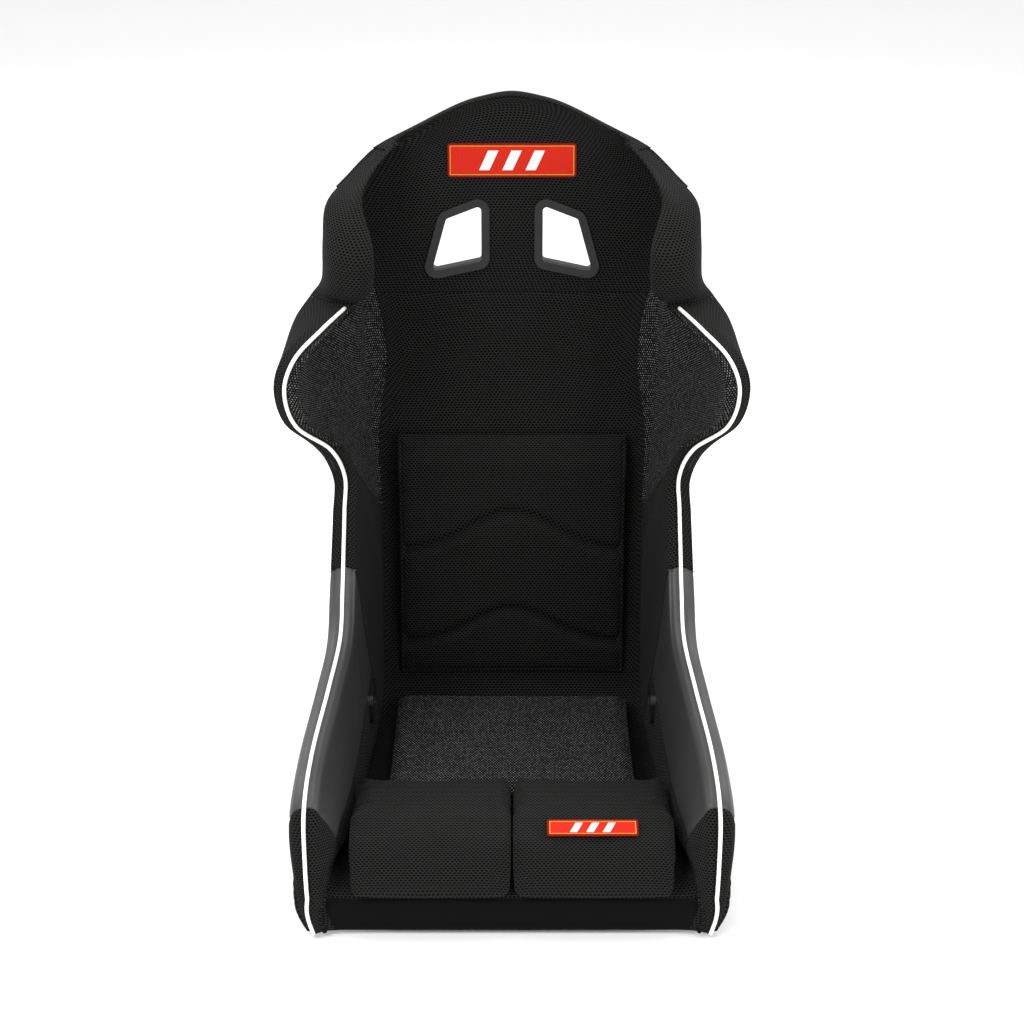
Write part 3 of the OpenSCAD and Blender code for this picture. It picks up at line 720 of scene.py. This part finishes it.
cushion("back_pad", SPACER, "mesh_fabric", crown=7.0, corner=22, facing=(0, -1, 0.15), groove=back_grooves)
cushion("squab_pad", GRIP, "grip_fabric", cap=5.0)
for word in SIDES:
    cushion(f"thigh_pad_{word}", SPACER, "mesh_fabric", corner=10, facing=(0, -0.7, 0.7))


# ---------------------------------------------------------------- CAD parts that keep their shape
def finish_node(name, mat):
    obj = nodes[name]
    if not obj.material_slots:
        obj.data.materials.append(mat)
    for slot in obj.material_slots:
        slot.material = mat


SHARP = 0.75          # edges that turn more than this many radians stay sharp


def moulded_skin():
    """The bucket's own faces, shaded as one smooth moulding across the loft's facets."""
    me = node_mesh("bucket")
    bm = bmesh.new()
    bm.from_mesh(me)
    bmesh.ops.remove_doubles(bm, verts=bm.verts, dist=WELD)
    for e in bm.edges:
        e.smooth = len(e.link_faces) == 2 and e.calc_face_angle(0) < SHARP
    for f in bm.faces:
        f.smooth = True
    bm.to_mesh(me)
    bm.free()
    finish_piece(link_new("moulded_skin", me), COMPOSITE, "composite", ["bucket"], soft=False)


moulded_skin()
for name in nodes:
    if "insert" in name:
        finish_node(name, STEEL)
    elif "frame" in name or "ring" in name:
        finish_node(name, PLASTIC)
    elif name == "hook_strips":
        finish_node(name, TAPE)
finish_node("head_patch", twill_badge("head_patch", 2))
finish_node("thigh_patch", twill_badge("thigh_patch", 1))


# ---------------------------------------------------------------- studio
def area_light(name, place, target, size, power):
    data = bpy.data.lights.new(name, "AREA")
    data.size, data.energy = size, power
    obj = link_new(name, data)
    obj.location = place
    obj.rotation_euler = (Vector(target) - Vector(place)).to_track_quat("-Z", "Y").to_euler()


clear_selection()
bpy.ops.mesh.primitive_plane_add(size=80, location=(0, 0, -0.0005))
floor = bpy.context.active_object
floor.name = "studio_floor"
floor_mat, floor_tree, floor_bsdf = new_material("pale_floor", (0.86, 0.86, 0.86), 0.75)
bump(floor_tree, floor_bsdf, noise(floor_tree, 30, 3), 0.0003, 0.2)
floor.data.materials.append(floor_mat)

area_light("key", (-1.8, -2.2, 3.0), (0, 0, 0.4), 1.8, 90)
area_light("fill", (2.4, -2.0, 1.6), (0, 0, 0.4), 2.2, 50)
area_light("rim_left", (-2.2, 1.2, 1.8), (0, 0, 0.5), 1.2, 24)
area_light("rim_right", (2.2, 1.2, 1.8), (0, 0, 0.5), 1.2, 24)
area_light("top", (0, 0.2, 3.2), (0, 0.1, 0.5), 1.6, 45)
world = bpy.data.worlds.new("studio")
world.use_nodes = True
world.node_tree.nodes["Background"].inputs[0].default_value = (1, 1, 1, 1)
world.node_tree.nodes["Background"].inputs[1].default_value = 0.95
bpy.context.scene.world = world

lens = bpy.data.cameras.new("camera")
lens.lens, lens.sensor_width, lens.shift_y = 88.07, 36.0, 0.0049
lens.clip_end = 50
camera = link_new("camera", lens)
camera.location = (0, -2.896, 1.782)
camera.rotation_euler = (math.radians(65), 0, 0)
bpy.context.scene.camera = camera
bpy.context.scene.view_settings.view_transform = "Standard"
